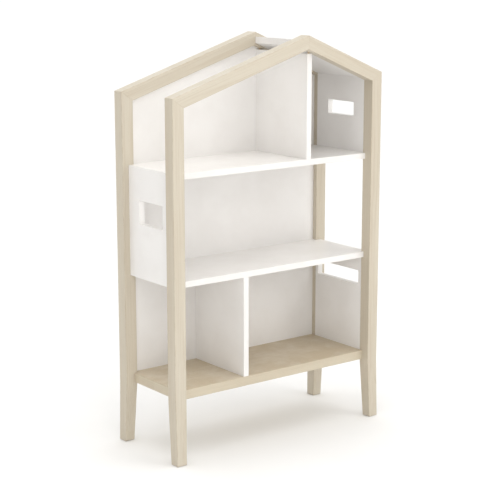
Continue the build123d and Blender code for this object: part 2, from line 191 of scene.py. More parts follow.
class StudioSettings(PropertyGroup):
    """Floor, light and camera."""

    floor_paint: FloatVectorProperty(
        name="Floor", description="Colour of the studio floor",
        subtype="COLOR", min=0, max=1, default=(0.86, 0.86, 0.86))
    floor_size: FloatProperty(
        name="Floor size", description="Width of the floor",
        unit="LENGTH", default=140.0)
    tent: FloatProperty(
        name="Tent", description="Light from the tent, in step with height",
        min=0, default=1.20)
    zenith: FloatProperty(
        name="Zenith", description="More light from the top of the tent, in step with height squared",
        min=0, default=0.86)
    backdrop: FloatProperty(
        name="Backdrop", description="Least brightness of the tent where it is looked at straight",
        min=0, default=1.1)
    left_softbox: FloatVectorProperty(
        name="Left softbox", description="Place of the softbox in front on the left",
        subtype="XYZ", unit="LENGTH", default=(-2.4, -4.0, 2.2))
    right_softbox: FloatVectorProperty(
        name="Right softbox", description="Place of the softbox in front on the right",
        subtype="XYZ", unit="LENGTH", default=(2.4, -4.0, 2.2))
    softbox_aim: FloatVectorProperty(
        name="Aim", description="Point that both softboxes look at",
        subtype="XYZ", unit="LENGTH", default=(0, 0, 0.6))
    softbox: FloatProperty(
        name="Softbox width", description="Width of both softboxes",
        unit="LENGTH", default=2.8)
    left_power: FloatProperty(
        name="Left power", description="Power of the left softbox",
        unit="POWER", default=46.0)
    right_power: FloatProperty(
        name="Right power", description="Power of the right softbox",
        unit="POWER", default=43.0)
    camera_place: FloatVectorProperty(
        name="Camera", description="Where the camera stands", subtype="XYZ", unit="LENGTH",
        default=(-2.649, -3.440, 1.507))
    camera_turn: FloatProperty(
        name="Turn", description="How far the camera looks to the right of the bookcase's depth",
        unit="ROTATION", default=radians(37.53))
    camera_dip: FloatProperty(
        name="Dip", description="How far the camera looks down",
        unit="ROTATION", default=radians(11.92))
    lens: FloatProperty(
        name="Lens", description="Focal length in millimetres",
        unit="CAMERA", default=100.35)


# ---- shader nodes
def put(tree, kind, inputs=None, **settings):
    """Add a shader node with its settings, and link or set its inputs."""
    node = tree.nodes.new("ShaderNode" + kind)
    for name, value in settings.items():
        setattr(node, name, value)
    for name, value in (inputs or {}).items():
        if isinstance(value, bpy.types.NodeSocket):
            tree.links.new(value, node.inputs[name])
        else:
            node.inputs[name].default_value = value
    return node


def new_group(name, inputs, outputs):
    """New node group with its inner sockets; inputs holds (label, socket type, default)."""
    tree = bpy.data.node_groups.new(name, "ShaderNodeTree")
    for label, kind, default in inputs:
        socket = tree.interface.new_socket(label, in_out="INPUT", socket_type=kind)
        if default is not None:
            socket.default_value = default
    for label in outputs:
        tree.interface.new_socket(label, in_out="OUTPUT", socket_type="NodeSocketFloat")
    return tree, tree.nodes.new("NodeGroupInput").outputs, tree.nodes.new("NodeGroupOutput").inputs


SPREAD = (0.3, 0.7)  # most of a noise lies between these


def stretched(tree, vector, scale):
    """The vector multiplied by a scale along each axis."""
    return put(tree, "VectorMath", {0: vector, 1: scale}, operation="MULTIPLY").outputs[0]


def noise(tree, vector, scale=1.0, detail=2.0, roughness=0.5):
    """Value of a noise texture."""
    inputs = {"Vector": vector, "Scale": scale, "Detail": detail, "Roughness": roughness}
    return put(tree, "TexNoise", inputs).outputs["Fac"]


def maths(tree, operation, first, second=0.0):
    """One sum on two values."""
    return put(tree, "Math", {0: first, 1: second}, operation=operation).outputs[0]


def weighted(tree, *terms):
    """Sum of several (value, weight) pairs."""
    products = [maths(tree, "MULTIPLY", value, weight) for value, weight in terms]
    total = products[0]
    for product in products[1:]:
        total = maths(tree, "ADD", total, product)
    return total


def remap(tree, value, low, high, to_low=0.0, to_high=1.0):
    """A value taken smoothly from one range to another."""
    inputs = {"Value": value, "From Min": low, "From Max": high, "To Min": to_low, "To Max": to_high}
    return put(tree, "MapRange", inputs, interpolation_type="SMOOTHSTEP").outputs["Result"]


def upward(tree):
    """How far a face looks up, from -1 to 1."""
    normal = put(tree, "NewGeometry").outputs["Normal"]
    return put(tree, "SeparateXYZ", {0: normal}).outputs["Z"]


def blend(tree, amount, first, second):
    """Colour between two colours; either may be a socket."""
    inputs = {0: amount, 6: first, 7: second}
    return put(tree, "Mix", inputs, data_type="RGBA").outputs[2]


# Scales of the birch figure, per metre: along the grain, then twice across it
RING_DRIFT = (1.3, 9, 9)  # slow bow of the growth rings
RING_WANDER = (2.6, 26, 26)  # small waves in them
RING_FADE = (5, 60, 60)  # places where they hardly show
FIBRE = (7, 520, 520)
FLECK = (90, 1500, 1500)  # short dark pores
TONE = (1.1, 13, 13)  # paler and darker stretches of a member
DRIFT_REACH, WANDER_REACH = 0.016, 0.005  # how far the rings stray, in metres
LATE_WOOD = 3.2  # the higher, the narrower the dark part of a ring


def timber_group():
    """Birch figure on a vector that runs along the grain in X, with the pith on the X axis."""
    tree, given, result = new_group(
        "Birch figure",
        [("Vector", "NodeSocketVector", None), ("Ring spacing", "NodeSocketFloat", 0.004)],
        ["Rings", "Fibres", "Flecks", "Tone", "Height"])
    vector = given["Vector"]
    drift = noise(tree, stretched(tree, vector, RING_DRIFT), detail=2)
    wander = noise(tree, stretched(tree, vector, RING_WANDER), detail=3)
    radial = stretched(tree, vector, (0, 1, 1))
    from_pith = put(tree, "VectorMath", {0: radial}, operation="LENGTH").outputs["Value"]
    strayed = weighted(tree, (from_pith, 1.0), (drift, DRIFT_REACH), (wander, WANDER_REACH))
    count = maths(tree, "DIVIDE", strayed, given["Ring spacing"])
    late_wood = maths(tree, "POWER", maths(tree, "FRACT", count), LATE_WOOD)
    fade = noise(tree, stretched(tree, vector, RING_FADE), detail=2)
    rings = maths(tree, "MULTIPLY", late_wood, remap(tree, fade, *SPREAD, 0.15, 1.0))
    fibres = noise(tree, stretched(tree, vector, FIBRE), detail=4, roughness=0.62)
    flecks = remap(tree, noise(tree, stretched(tree, vector, FLECK), detail=1), 0.64, 0.74)
    tone = noise(tree, stretched(tree, vector, TONE), detail=2)
    height = weighted(tree, (fibres, 0.6), (flecks, -0.7), (rings, -0.25))
    figure = {"Rings": rings, "Fibres": fibres, "Flecks": flecks, "Tone": tone, "Height": height}
    for label, value in figure.items():
        tree.links.new(value, result[label])
    return tree


# Scales of the lacquer's skin, per metre
PEEL, COARSE_PEEL, CLOUD = 420, 95, 6.5
RUB = (14, 14, 30)


def lacquer_group():
    """Skin of sprayed lacquer: orange peel, faint clouds and rubbed patches."""
    tree, given, result = new_group(
        "Lacquer skin", [("Vector", "NodeSocketVector", None)], ["Peel", "Clouds", "Rub"])
    vector = given["Vector"]
    peel = noise(tree, vector, PEEL, detail=2, roughness=0.45)
    coarse = noise(tree, vector, COARSE_PEEL, detail=2)
    clouds = noise(tree, vector, CLOUD, detail=4, roughness=0.6)
    rub = noise(tree, stretched(tree, vector, RUB), detail=3)
    tree.links.new(weighted(tree, (peel, 1.0), (coarse, 0.8)), result["Peel"])
    tree.links.new(remap(tree, clouds, 0.36, 0.68), result["Clouds"])
    tree.links.new(rub, result["Rub"])
    return tree


WEAR_PATCH, DUST_DRIFT = 26, 11  # scales of the patches of wear and of dust, per metre
LEVEL = (0.6, 0.98)  # dust goes from none to all between these upward looks of a face


def wear_group():
    """Broken wear along the rounded edges, which carry the attribute named rim."""
    tree, given, result = new_group(
        "Edge wear", [("Vector", "NodeSocketVector", None), ("Amount", "NodeSocketFloat", 0.5)],
        ["Mask"])
    rim = put(tree, "Attribute", attribute_name="rim").outputs["Fac"]
    patches = noise(tree, given["Vector"], WEAR_PATCH, detail=4, roughness=0.65)
    broken = remap(tree, patches, 0.40, 0.66, 0.12, 1.0)
    worn = maths(tree, "MULTIPLY", maths(tree, "MULTIPLY", rim, broken), given["Amount"])
    tree.links.new(worn, result["Mask"])
    return tree


def dust_group():
    """Thin dust that settles on faces that look up."""
    tree, given, result = new_group(
        "Settled dust", [("Vector", "NodeSocketVector", None), ("Amount", "NodeSocketFloat", 0.3)],
        ["Mask"])
    drifts = noise(tree, given["Vector"], DUST_DRIFT, detail=5, roughness=0.7)
    level = remap(tree, upward(tree), *LEVEL)
    settled = maths(tree, "MULTIPLY", level, remap(tree, drifts, 0.35, 0.75))
    tree.links.new(maths(tree, "MULTIPLY", settled, given["Amount"]), result["Mask"])
    return tree


built_groups = {}


def use(tree, builder, inputs):
    """Place a node group, which is built once, in a material and return its outputs."""
    if builder not in built_groups:
        built_groups[builder] = builder()
    return put(tree, "Group", inputs, node_tree=built_groups[builder]).outputs


def new_material(name):
    """Empty material with its node tree, shader and object coordinates."""
    material = bpy.data.materials.new(name)
    material.use_nodes = True
    tree = material.node_tree
    tree.nodes.clear()
    shader = put(tree, "BsdfPrincipled")
    output = put(tree, "OutputMaterial")
    tree.links.new(shader.outputs["BSDF"], output.inputs["Surface"])
    return material, tree, shader, put(tree, "TexCoord").outputs["Object"]


def bump(tree, shader, height, distance, strength=0.5):
    """Small relief on the shader's normal."""
    relief = put(tree, "Bump", {"Height": height, "Distance": distance, "Strength": strength})
    tree.links.new(relief.outputs["Normal"], shader.inputs["Normal"])


# ---- materials
# Colours of the finishes, and reliefs in metres
WOOD_DUST = (0.84, 0.82, 0.77, 1)
LACQUER_DUST = (0.79, 0.775, 0.74, 1)
FIBRE_RELIEF, RAW_RELIEF = 0.00022, 0.0001
PEEL_RELIEF, BACK_PEEL_RELIEF = 0.00005, 0.00008
TURNING_RELIEF, GRIT_RELIEF = 0.00003, 0.00004
ZINC, DULL_ZINC = (0.68, 0.69, 0.70, 1), (0.56, 0.57, 0.56, 1)
NYLON, SCUFFED_NYLON = (0.80, 0.79, 0.75, 1), (0.52, 0.50, 0.46, 1)
BEECH, DARK_BEECH = (0.72, 0.55, 0.37, 1), (0.52, 0.36, 0.22, 1)
PLY, DARK_PLY = (0.78, 0.65, 0.47, 1), (0.55, 0.41, 0.26, 1)
# Staves of the bottom shelf
STAVE_TINT = 0.05  # how much darker or paler a stave may be
STAVE_JUMP = (1.4, 0.0, 0.05)  # how far the figure may slip from one stave to the next
STAVE_PITH = (0, -0.03, 0)  # where the pith lies beside each stave
SHADED_TOP_LOOKS = (0.3, 0.9)  # painted shade: the colour goes from the edge colour to the darker shaded top between these upward looks of a face


def laid_along_grain(tree, place, node, turn, pith, slip):
    """Object coordinates with the grain along X and the heart of the tree beside the member."""
    low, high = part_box(node)
    home = Euler((0, turn, 0)).to_matrix() @ ((low + high) / 2)
    offset = Vector((slip, *pith)) - home
    inputs = {"Vector": place, "Location": offset, "Rotation": (0, turn, 0)}
    return put(tree, "Mapping", inputs).outputs[0]


def split_into_staves(tree, vector, width):
    """The vector with another stretch of figure on each stave, and each stave's tint."""
    across = put(tree, "SeparateXYZ", {0: vector}).outputs["Y"]
    number = maths(tree, "FLOOR", maths(tree, "DIVIDE", across, width))
    lot = put(tree, "TexWhiteNoise", {"W": number}, noise_dimensions="1D")
    tint = remap(tree, lot.outputs["Value"], 0, 1, -STAVE_TINT, STAVE_TINT)
    edge = put(tree, "CombineXYZ", {"Y": maths(tree, "MULTIPLY", number, width)}).outputs[0]
    within = put(tree, "VectorMath", {0: vector, 1: edge}, operation="SUBTRACT").outputs[0]
    heart = put(tree, "VectorMath", {0: within, 1: STAVE_PITH}, operation="ADD").outputs[0]
    jump = stretched(tree, lot.outputs["Color"], STAVE_JUMP)
    return put(tree, "VectorMath", {0: heart, 1: jump}, operation="ADD").outputs[0], tint


def birch(name, node, turn, pith, slip, staves=False):
    """Whitewashed birch for one member; turn lays its grain along X, slip moves the figure along it."""
    timber = bpy.context.scene.bookcase_timber
    material, tree, shader, place = new_material(name)
    wash, grain, worn = ((*colour, 1) for colour in (timber.wash, timber.grain, timber.worn))
    along_grain = laid_along_grain(tree, place, node, turn, pith, slip)
    tint = 0.0
    if staves:
        along_grain, tint = split_into_staves(tree, along_grain, timber.stave_width)
        # Painted shade: faces that look up take the darker top colour, which stands in for shade from the
        # shelves above.
        top_shade = remap(tree, upward(tree), *SHADED_TOP_LOOKS)
        wash = blend(tree, top_shade, (*timber.shelf_edge_wash, 1), (*timber.shaded_shelf_top, 1))
    figure = use(tree, timber_group, {"Vector": along_grain, "Ring spacing": timber.ring_spacing})
    wear = use(tree, wear_group, {"Vector": place, "Amount": 0.7})["Mask"]
    dust = use(tree, dust_group, {"Vector": place, "Amount": 0.25})["Mask"]
    fibres = remap(tree, figure["Fibres"], 0.35, 0.75, 0.0, 0.30)
    tone = remap(tree, figure["Tone"], *SPREAD, -0.10, 0.16)
    depth = weighted(tree, (figure["Rings"], 0.34), (fibres, 1.0), (tone, 1.0),
                     (figure["Flecks"], 0.22), (tint, 1.0))
    colour = blend(tree, depth, wash, grain)
    colour = blend(tree, wear, colour, worn)
    colour = blend(tree, dust, colour, WOOD_DUST)
    tree.links.new(colour, shader.inputs["Base Color"])
    rough = remap(tree, figure["Fibres"], *SPREAD, 0.44, 0.56)
    tree.links.new(weighted(tree, (rough, 1.0), (wear, -0.08)), shader.inputs["Roughness"])
    shader.inputs["Specular IOR Level"].default_value = 0.42
    bump(tree, shader, figure["Height"], FIBRE_RELIEF, 0.55)
    return material


def lacquer(name, roughness=0.36, relief=PEEL_RELIEF):
    """White lacquer on a board."""
    settings = bpy.context.scene.bookcase_lacquer
    material, tree, shader, place = new_material(name)
    skin = use(tree, lacquer_group, {"Vector": place})
    wear = use(tree, wear_group, {"Vector": place, "Amount": 0.5})["Mask"]
    dust = use(tree, dust_group, {"Vector": place, "Amount": 0.22})["Mask"]
    paint, shade, worn = ((*colour, 1) for colour in (settings.paint, settings.shade, settings.worn))
    colour = blend(tree, skin["Clouds"], paint, shade)
    colour = blend(tree, wear, colour, worn)
    colour = blend(tree, dust, colour, LACQUER_DUST)
    tree.links.new(colour, shader.inputs["Base Color"])
    rough = remap(tree, skin["Rub"], *SPREAD, roughness - 0.05, roughness + 0.07)
    tree.links.new(weighted(tree, (rough, 1.0), (dust, 0.5)), shader.inputs["Roughness"])
    shader.inputs["Coat Weight"].default_value = 0.18
    shader.inputs["Coat Roughness"].default_value = 0.22
    bump(tree, shader, skin["Peel"], relief)
    return material


def zinc():
    """Bright zinc plating with turning marks and faint stains."""
    material, tree, shader, place = new_material("zinc_plating")
    marks = noise(tree, stretched(tree, place, (900, 60, 900)), detail=3, roughness=0.6)
    stains = noise(tree, place, 160, detail=3)
    colour = blend(tree, remap(tree, stains, 0.35, 0.7), ZINC, DULL_ZINC)
    tree.links.new(colour, shader.inputs["Base Color"])
    tree.links.new(remap(tree, marks, *SPREAD, 0.24, 0.40), shader.inputs["Roughness"])
    shader.inputs["Metallic"].default_value = 1.0
    bump(tree, shader, marks, TURNING_RELIEF, 0.4)
    return material


def nylon():
    """Moulded off-white nylon, scuffed where it slides."""
    material, tree, shader, place = new_material("moulded_nylon")
    grit = noise(tree, place, 700, detail=3)
    scuffs = remap(tree, noise(tree, stretched(tree, place, (240, 60, 60)), detail=3), 0.5, 0.72)
    tree.links.new(blend(tree, scuffs, NYLON, SCUFFED_NYLON), shader.inputs["Base Color"])
    tree.links.new(remap(tree, grit, *SPREAD, 0.40, 0.58), shader.inputs["Roughness"])
    shader.inputs["Subsurface Weight"].default_value = 0.08
    shader.inputs["Subsurface Scale"].default_value = 0.002
    bump(tree, shader, grit, GRIT_RELIEF, 0.4)
    return material


def raw_wood(name, pale, deep, ring_spacing):
    """Unfinished dowel or plywood stock."""
    material, tree, shader, place = new_material(name)
    figure = use(tree, timber_group, {"Vector": place, "Ring spacing": ring_spacing})
    depth = weighted(tree, (figure["Rings"], 0.5), (figure["Fibres"], 0.5))
    tree.links.new(blend(tree, depth, pale, deep), shader.inputs["Base Color"])
    tree.links.new(remap(tree, figure["Fibres"], *SPREAD, 0.55, 0.7), shader.inputs["Roughness"])
    bump(tree, shader, figure["Height"], RAW_RELIEF)
    return material


def dress(node, material):
    """Give a CAD node's own object a material."""
    piece = frame["nodes"][node]
    if not piece.material_slots:
        piece.data.materials.append(material)
    for slot in piece.material_slots:
        slot.material = material


# ---- bmesh helpers
CORNER = radians(20)  # edges that turn more than this are corners
END_CORNER = radians(35)  # at a member's ends, those that turn more than this
SMOOTH = radians(50)  # edges that turn less than this are shaded as round
PARALLEL = 0.9  # cosine past which two directions count as one


def sweep(outline, travel):
    """Solid from an outline of points, swept along a vector."""
    solid = bmesh.new()
    face = solid.faces.new([solid.verts.new(point) for point in outline])
    swept = bmesh.ops.extrude_face_region(solid, geom=[face], use_keep_orig=True)["geom"]
    moved = [part for part in swept if isinstance(part, bmesh.types.BMVert)]
    bmesh.ops.translate(solid, verts=moved, vec=travel)
    bmesh.ops.recalc_face_normals(solid, faces=solid.faces)
    return solid


def board(outline, front=bay_front, back=bay_back):
    """Board whose outline of (x, z) points runs from front to back."""
    return sweep([(x, front, z) for x, z in outline], (0, back - front, 0))


def block(low, high):
    """Rectangular solid between two corners."""
    solid = bmesh.new()
    bmesh.ops.create_cube(solid, size=1.0)
    low, high = Vector(low), Vector(high)
    bmesh.ops.scale(solid, verts=solid.verts, vec=high - low)
    bmesh.ops.translate(solid, verts=solid.verts, vec=(low + high) / 2)
    return solid


def cut_plane(solid, point, normal, remove=True):
    """Cut the solid at a plane; to remove is to drop the normal's side and close the cut."""
    everything = solid.verts[:] + solid.edges[:] + solid.faces[:]
    cut = bmesh.ops.bisect_plane(
        solid, geom=everything, plane_co=point, plane_no=normal, clear_outer=remove)
    if remove:
        rim = [part for part in cut["geom_cut"] if isinstance(part, bmesh.types.BMEdge)]
        bmesh.ops.holes_fill(solid, edges=rim, sides=0)


def soften(solid, edges, radius, segments=3):
    """Round edges with a bevel and mark the new faces as rims."""
    rim = solid.faces.layers.float.get("rim") or solid.faces.layers.float.new("rim")
    rounded = bmesh.ops.bevel(solid, geom=edges, offset=radius, offset_type="OFFSET", segments=segments,
                              profile=0.5, affect="EDGES", clamp_overlap=True, material=-1)
    for face in rounded["faces"]:
        face[rim] = 1.0


def sharp_edges(solid):
    """Edges where the solid turns a corner."""
    return [edge for edge in solid.edges if edge.is_manifold and edge.calc_face_angle(0) > CORNER]


def along(edges, direction):
    """Those edges that run close to a direction."""
    direction = Vector(direction).normalized()
    return [edge for edge in edges
            if abs((edge.verts[0].co - edge.verts[1].co).normalized().dot(direction)) > PARALLEL]


def pierce(solid, low, high, corner):
    """Window along X through an upright board, between two corners of a box; its corners are rounded."""
    for normal in ((0, 1, 0), (0, 0, 1)):
        for wall in (low, high):
            cut_plane(solid, wall, normal, remove=False)

    def is_cover(face):
        centre = face.calc_center_median()
        within = low.y < centre.y < high.y and low.z < centre.z < high.z
        return within and abs(face.normal.x) > PARALLEL

    covers = [face for face in solid.faces if is_cover(face)]
    bmesh.ops.delete(solid, geom=covers, context="FACES_ONLY")
    mouths = [edge for edge in solid.edges if edge.is_boundary]
    window = bmesh.ops.bridge_loops(solid, edges=mouths)
    corners = along(window["edges"], (1, 0, 0))
    bmesh.ops.bevel(solid, geom=corners, offset=corner, segments=4, profile=0.5, affect="EDGES",
                    material=-1)
    return solid


def subtract(solid, cutters):
    """The solid with other solids cut away from it."""
    mesh = bpy.data.meshes.new("stock")
    solid.to_mesh(mesh)
    solid.free()
    stock = bpy.data.objects.new("stock", mesh)
    bpy.context.scene.collection.objects.link(stock)
    helpers = [stock]
    for cutter in cutters:
        tool_mesh = bpy.data.meshes.new("cutter")
        cutter.to_mesh(tool_mesh)
        cutter.free()
        tool = bpy.data.objects.new("cutter", tool_mesh)
        bpy.context.scene.collection.objects.link(tool)
        cut = stock.modifiers.new("cut", "BOOLEAN")
        cut.object, cut.operation, cut.solver = tool, "DIFFERENCE", "EXACT"
        helpers.append(tool)
    evaluated = stock.evaluated_get(bpy.context.evaluated_depsgraph_get())
    shaped = bpy.data.meshes.new_from_object(evaluated)
    result = bmesh.new()
    result.from_mesh(shaped)
    for spent in (shaped, *(helper.data for helper in helpers)):
        bpy.data.meshes.remove(spent)
    return result


def finish_piece(solid, name, node, material):
    """Turn a solid into a shaded piece that stands for a CAD node."""
    for face in solid.faces:
        face.smooth = True
    mesh = bpy.data.meshes.new(name)
    solid.to_mesh(mesh)
    solid.free()
    mesh.set_sharp_from_angle(angle=SMOOTH)
    mesh.materials.append(material)
    piece = bpy.data.objects.new(name, mesh)
    bpy.context.scene.collection.objects.link(piece)
    even = piece.modifiers.new("Even shading", "WEIGHTED_NORMAL")
    even.keep_sharp, even.weight = True, 100
    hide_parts(node)
    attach(piece, "root")


# ---- frames
def eave_cut(side):
    """A point on the mitre between leg and rafter, and the normal towards the rafter."""
    outer = Vector((SIDES[side] * half_width, 0, eave_z[side]))
    inner_z = roof_line(side, SIDES[side] * inner_x, rafter_thickness)
    inner = Vector((SIDES[side] * inner_x, 0, inner_z))
    run = (outer - inner).normalized()
    normal = Vector((-run.z, 0, run.x)) * (1 if run.x > 0 else -1)
    return outer, normal


def apex_cut():
    """A point on the mitre between the two rafters, and the normal towards the right one."""
    x, z = ridge_point(rafter_thickness)
    run = Vector((ridge_x - x, 0, ridge_z - z)).normalized()
    return Vector((ridge_x, 0, ridge_z)), Vector((run.z, 0, -run.x))


def frame_depths(end):
    """Front and back of one gable frame."""
    low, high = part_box(f"{end}_left_rafter")
    return low.y, high.y


HEAD_REACH = 0.02  # points of one screw head lie closer together than this
HOLE_SIDES = 40


def screw_heads():
    """Centres of the connector screws' heads, as (x, z), read from the screws themselves."""
    heads = []
    for x, y, z in (vertex.co for vertex in frame["nodes"]["connector_screws"].data.vertices):
        if y < bay_back:
            continue
        near = [found for found in heads if hypot(found[0][0] - x, found[0][1] - z) < HEAD_REACH]
        if near:
            near[0].append((x, z))
        else:
            heads.append([(x, z)])
    return [[(min(places) + max(places)) / 2 for places in zip(*found)] for found in heads]


def head_holes(low_x, high_x):
    """Cutters for the screw heads between two places across the back frame."""
    hardware = bpy.context.scene.bookcase_hardware
    radius = hardware.screw_hole / 2
    cutters = []
    for x, z in screw_heads():
        if not low_x < x < high_x:
            continue
        hole = bmesh.new()
        bmesh.ops.create_cone(hole, cap_ends=True, segments=HOLE_SIDES, radius1=radius,
                              radius2=radius, depth=2 * hardware.screw_seat)
        bmesh.ops.rotate(hole, verts=hole.verts, matrix=Matrix.Rotation(pi / 2, 3, "X"))
        bmesh.ops.translate(hole, verts=hole.verts, vec=(x, frame_back, z))
        cutters.append(hole)
    return cutters


MEMBERS = tuple((end, side) for end in ENDS for side in SIDES)
# Where the heart of the tree lies beside each member, in the order of MEMBERS
LEG_PITHS = ((0.052, 0.018), (-0.061, 0.020), (0.047, -0.026), (-0.055, -0.015))
RAFTER_PITHS = ((0.050, 0.022), (-0.058, 0.017), (-0.046, 0.024), (0.060, -0.019))
SHELF_PITH = (0.0, 0.045)
LEG_SLIP, RAFTER_START, RAFTER_SLIP, SHELF_SLIP = 0.7, 4, 0.6, 9.0  # places along one long figure
HEAD_CLEARANCE = 0.020  # screws this near the inner face of a leg are sunk in the leg


def ease_member(member, run):
    """Round a member's long edges along its run, and ease the edges of its ends to a hairline."""
    timber = bpy.context.scene.bookcase_timber
    soften(member, along(sharp_edges(member), run), timber.arris, segments=4)
    ends = [edge for edge in sharp_edges(member) if abs(edge.calc_face_angle(0)) > END_CORNER]
    soften(member, ends, timber.hairline, segments=2)


def kick_foot(leg, name, outward):
    """Taper the foot below the bottom shelf and kick it out until it is centred on its glide."""
    low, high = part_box(name)
    glide_radius = bpy.context.scene.bookcase_hardware.glide_diameter / 2
    glide_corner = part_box("foot_glides")[1] - Vector((glide_radius, glide_radius, 0))
    foot_corner = Vector((half_width, max(abs(low.y), abs(high.y)), 0))
    half_foot = foot_corner - glide_corner
    sole = [vertex for vertex in leg.verts if abs(vertex.co.z - low.z) < TOUCH]
    middle = sum((vertex.co for vertex in sole), Vector()) / len(sole)
    for vertex in sole:
        for axis in (0, 1):
            reach = half_foot[axis] if vertex.co[axis] > middle[axis] else -half_foot[axis]
            vertex.co[axis] = outward[axis] * glide_corner[axis] + reach


class BOOKCASE_OT_legs(Operator):
    """Four upright legs with tapered, kicked-out feet"""

    bl_idname = "bookcase.legs"
    bl_label = "Legs"

    def execute(self, context):
        for number, (end, side) in enumerate(MEMBERS):
            name = f"{end}_{side}_leg"
            low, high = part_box(name)
            front, back = frame_depths(end)
            leg = block((low.x, front, low.z), (high.x, back, ridge_z))
            cut_plane(leg, (0, 0, knee), (0, 0, 1), remove=False)
            kick_foot(leg, name, (SIDES[side], ENDS[end]))
            cut_plane(leg, *eave_cut(side))
            ease_member(leg, (0, 0, 1))
            if end == "back":
                leg = subtract(leg, head_holes(low.x, high.x))
            material = birch(f"birch_{name}", name, pi / 2, LEG_PITHS[number], LEG_SLIP * number)
            finish_piece(leg, f"{name}_timber", name, material)
        return {"FINISHED"}


class BOOKCASE_OT_rafters(Operator):
    """Two sloping members on each frame, mitred at the eaves and at the ridge"""

    bl_idname = "bookcase.rafters"
    bl_label = "Rafters"

    def execute(self, context):
        past_mitres = 2 * half_width
        for number, (end, side) in enumerate(MEMBERS):
            name = f"{end}_{side}_rafter"
            slope = roof_slope(side)
            corners = [(x, roof_line(side, x, depth)) for x, depth in (
                (-past_mitres, 0), (past_mitres, 0),
                (past_mitres, rafter_thickness), (-past_mitres, rafter_thickness))]
            rafter = board(corners, *frame_depths(end))
            point, normal = eave_cut(side)
            cut_plane(rafter, point, -normal)
            point, normal = apex_cut()
            cut_plane(rafter, point, -SIDES[side] * normal)
            ease_member(rafter, (1, 0, slope))
            low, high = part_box(name)
            if end == "back":
                holes = head_holes(max(low.x, -half_width), min(high.x, inner_x - HEAD_CLEARANCE))
                rafter = subtract(rafter, holes)
            slip = RAFTER_START + RAFTER_SLIP * number
            material = birch(f"birch_{name}", name, atan(slope), RAFTER_PITHS[number], slip)
            finish_piece(rafter, f"{name}_timber", name, material)
        return {"FINISHED"}


# ---- boards
def ease_board(solid, radius):
    """Round every corner edge of a board."""
    soften(solid, sharp_edges(solid), radius)
    return solid


class BOOKCASE_OT_bottom_shelf(Operator):
    """Thick wooden shelf let into the four legs"""

    bl_idname = "bookcase.bottom_shelf"
    bl_label = "Bottom Shelf"

    def execute(self, context):
        timber = context.scene.bookcase_timber
        shelf = ease_board(block(shelf_low, shelf_high), timber.shelf_edge)
        material = birch("birch_bottom_shelf", "bottom_shelf", 0.0, SHELF_PITH, SHELF_SLIP, staves=True)
        finish_piece(shelf, "bottom_shelf_timber", "bottom_shelf", material)
        return {"FINISHED"}


def ribbon_shelf(name, top_reach, under_reach):
    """White shelf in plan: mitred tongues between the frames, strips between the legs.

    The reaches are how far the left and right mitres run at the top and at the underside.
    """
    low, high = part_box(name)
    plan = []
    for side, reach in ((-1, top_reach[0]), (1, top_reach[1])):
        edge = [(side * inner_x, high.y), (side * inner_x, bay_back), (side * reach, bay_back),
                (side * reach, bay_front), (side * inner_x, bay_front), (side * inner_x, low.y)]
        plan += edge if side < 0 else edge[::-1]
    kept = [point for index, point in enumerate(plan) if point != plan[index - 1]]
    shelf = sweep([(x, y, high.z) for x, y in kept], (0, 0, low.z - high.z))
    for side, top, under in ((-1, top_reach[0], under_reach[0]), (1, top_reach[1], under_reach[1])):
        for vertex in shelf.verts:
            on_tongue = bay_front - TOUCH < vertex.co.y < bay_back + TOUCH
            below = abs(vertex.co.z - low.z) < TOUCH
            if on_tongue and below and abs(vertex.co.x - side * top) < TOUCH:
                vertex.co.x = side * under
    bmesh.ops.remove_doubles(shelf, verts=shelf.verts, dist=TOUCH)
    return shelf


class BOOKCASE_OT_white_shelves(Operator):
    """Middle and upper shelf of the folded white ribbon"""

    bl_idname = "bookcase.white_shelves"
    bl_label = "White Shelves"

    def execute(self, context):
        edge = context.scene.bookcase_lacquer.edge
        reaches = {"middle_shelf": ((inner_x, outer_x), (outer_x, inner_x)),
                   "upper_shelf": ((outer_x, inner_x), (inner_x, outer_x))}
        for name, (top_reach, under_reach) in reaches.items():
            shelf = ease_board(ribbon_shelf(name, top_reach, under_reach), edge)
            finish_piece(shelf, f"{name}_board", name, lacquer(f"lacquer_{name}"))
        return {"FINISHED"}


class BOOKCASE_OT_side_panels(Operator):
    """Three white side panels, each with its window"""

    bl_idname = "bookcase.side_panels"
    bl_label = "Side Panels"

    def execute(self, context):
        settings = context.scene.bookcase_lacquer
        middle_low, middle_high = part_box("middle_shelf")
        upper_low, upper_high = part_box("upper_shelf")
        lip_x = shelf_high.x
        panels = {
            "lower_right_side_panel": ("slot_window", [
                (inner_x, middle_low.z), (outer_x, middle_high.z), (outer_x, shelf_low.z),
                (lip_x, shelf_low.z), (lip_x, shelf_high.z), (inner_x, shelf_high.z)]),
            "middle_left_side_panel": ("middle_window", [
                (-outer_x, upper_high.z), (-inner_x, upper_low.z), (-inner_x, middle_high.z),
                (-outer_x, middle_low.z)]),
            "upper_right_side_panel": ("upper_window", [
                (inner_x, upper_high.z), (outer_x, upper_low.z),
                (outer_x, roof_line("right", outer_x, roof_top_depth)),
                (inner_x, roof_line("right", inner_x, roof_under_depth))]),
        }
        for name, (window, outline) in panels.items():
            panel = pierce(board(outline), *opening(window), settings.window_corner)
            ease_board(panel, settings.edge)
            finish_piece(panel, f"{name}_board", name, lacquer(f"lacquer_{name}"))
        return {"FINISHED"}


class BOOKCASE_OT_roof_panel(Operator):
    """White half roof on the right, cut plumb at the ridge"""

    bl_idname = "bookcase.roof_panel"
    bl_label = "Roof Panel"

    def execute(self, context):
        outline = [(x, roof_line("right", x, depth)) for x, depth in (
            (ridge_x, roof_under_depth), (ridge_x, roof_top_depth),
            (outer_x, roof_top_depth), (inner_x, roof_under_depth))]
        panel = ease_board(board(outline), context.scene.bookcase_lacquer.edge)
        material = lacquer("lacquer_roof_panel")
        finish_piece(panel, "roof_panel_board", "roof_panel", material)
        return {"FINISHED"}


